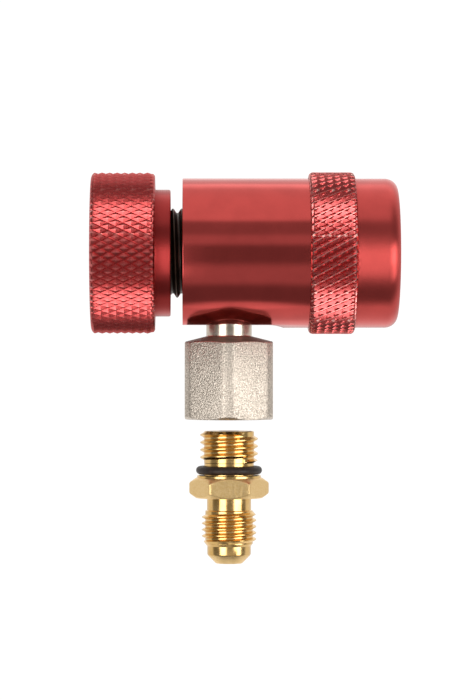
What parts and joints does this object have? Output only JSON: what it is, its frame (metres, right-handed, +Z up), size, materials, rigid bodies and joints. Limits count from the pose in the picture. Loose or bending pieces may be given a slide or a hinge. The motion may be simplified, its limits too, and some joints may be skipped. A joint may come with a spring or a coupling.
{
  "type": "manual service port quick coupler",
  "caption": "Manual quick coupler for a car air-conditioning port: sprung release sleeve, red body, handwheel, swivelling hexagonal outlet and a brass flare hose adapter.",
  "frame": {"origin": "on the coupler's axis, at the mouth of the socket, where the front edge of the release sleeve lies", "axes": "+X out of the socket, away from the handwheel; +Z up, away from the hose outlet, which hangs down"},
  "size_m": [0.0617, 0.0326, 0.0789],
  "materials": {
    "red_body": "red anodised, satin",
    "red_sleeve": "red anodised, satin",
    "red_wheel": "red anodised, satin",
    "nickel": "blasted nickel plate, satin",
    "brass": "turned, bright",
    "gland_brass": "turned",
    "pin_brass": "turned",
    "black_screw": "black oxide, satin",
    "steel": "spring steel, bright",
    "ball_steel": "polished",
    "rubber": "smooth matte"
  },
  "bodies": {
    "body": {"valve_body": "red_body", "stem_gland": "gland_brass", "gland_o_ring": "rubber", "stem_o_ring": "rubber", "socket_o_ring": "rubber", "sleeve_retaining_ring": "steel", "outlet_retaining_wire": "steel", "sleeve_spring": "steel", "pin_return_spring": "steel"},
    "sleeve": {"release_sleeve": "red_sleeve"},
    "pin": {"depressor_pin": "pin_brass"},
    "wheel": {"handwheel": "red_wheel", "actuator_screw": "black_screw", "handwheel_screw": "black_screw"},
    "outlet": {"outlet_swivel": "nickel", "outlet_o_ring": "rubber"},
    "adapter_seal": {"adapter_o_ring": "rubber"},
    "adapter": {"hose_adapter": "brass"},
    "ball_1": {"lock_ball_1": "ball_steel"},
    "ball_2": {"lock_ball_2": "ball_steel"},
    "ball_3": {"lock_ball_3": "ball_steel"},
    "ball_4": {"lock_ball_4": "ball_steel"},
    "ball_5": {"lock_ball_5": "ball_steel"},
    "ball_6": {"lock_ball_6": "ball_steel"}
  },
  "joints": [
    {"name": "sleeve_slide", "type": "slide", "parent": "body", "child": "sleeve", "axis": [-1, 0, 0], "range_m": [0, 0.004], "stiffness_N_per_m": 1200, "springref_m": -0.004, "deforming": ["sleeve_spring"]},
    {"name": "pin_slide", "type": "slide", "parent": "body", "child": "pin", "axis": [1, 0, 0], "range_m": [-0.00175, 0.0021], "deforming": ["pin_return_spring"]},
    {"name": "handwheel_turn", "type": "hinge", "parent": "pin", "child": "wheel", "pos_m": [-0.05, 0, 0], "axis": [1, 0, 0], "range_deg": [-360, 432]},
    {"name": "outlet_swivel", "type": "hinge", "parent": "body", "child": "outlet", "pos_m": [-0.0339, 0, -0.014], "axis": [0, 0, 1], "continuous": true},
    {"name": "adapter_lift", "type": "slide", "parent": "outlet", "child": "adapter_seal", "axis": [0, 0, 1], "range_m": [0, 0.01125]},
    {"name": "adapter_screw", "type": "hinge", "parent": "adapter_seal", "child": "adapter", "pos_m": [-0.0339, 0, -0.047], "axis": [0, 0, 1], "range_deg": [0, 2700]},
    {"name": "ball_1_slide", "type": "slide", "parent": "body", "child": "ball_1", "axis": [0, 0, 1], "range_m": [0, 0.0011]},
    {"name": "ball_2_slide", "type": "slide", "parent": "body", "child": "ball_2", "axis": [0, -0.866, 0.5], "range_m": [0, 0.0011]},
    {"name": "ball_3_slide", "type": "slide", "parent": "body", "child": "ball_3", "axis": [0, -0.866, -0.5], "range_m": [0, 0.0011]},
    {"name": "ball_4_slide", "type": "slide", "parent": "body", "child": "ball_4", "axis": [0, 0, -1], "range_m": [0, 0.0011]},
    {"name": "ball_5_slide", "type": "slide", "parent": "body", "child": "ball_5", "axis": [0, 0.866, -0.5], "range_m": [0, 0.0011]},
    {"name": "ball_6_slide", "type": "slide", "parent": "body", "child": "ball_6", "axis": [0, 0.866, 0.5], "range_m": [0, 0.0011]}
  ],
  "couplings": [
    {"joint": "pin_slide", "follows": "handwheel_turn", "m_per_rad": 0.00027852},
    {"joint": "adapter_lift", "follows": "adapter_screw", "m_per_rad": 0.00023873},
    {"joint": "ball_1_slide", "follows": "sleeve_slide", "ratio": 0.275},
    {"joint": "ball_2_slide", "follows": "sleeve_slide", "ratio": 0.275},
    {"joint": "ball_3_slide", "follows": "sleeve_slide", "ratio": 0.275},
    {"joint": "ball_4_slide", "follows": "sleeve_slide", "ratio": 0.275},
    {"joint": "ball_5_slide", "follows": "sleeve_slide", "ratio": 0.275},
    {"joint": "ball_6_slide", "follows": "sleeve_slide", "ratio": 0.275}
  ]
}
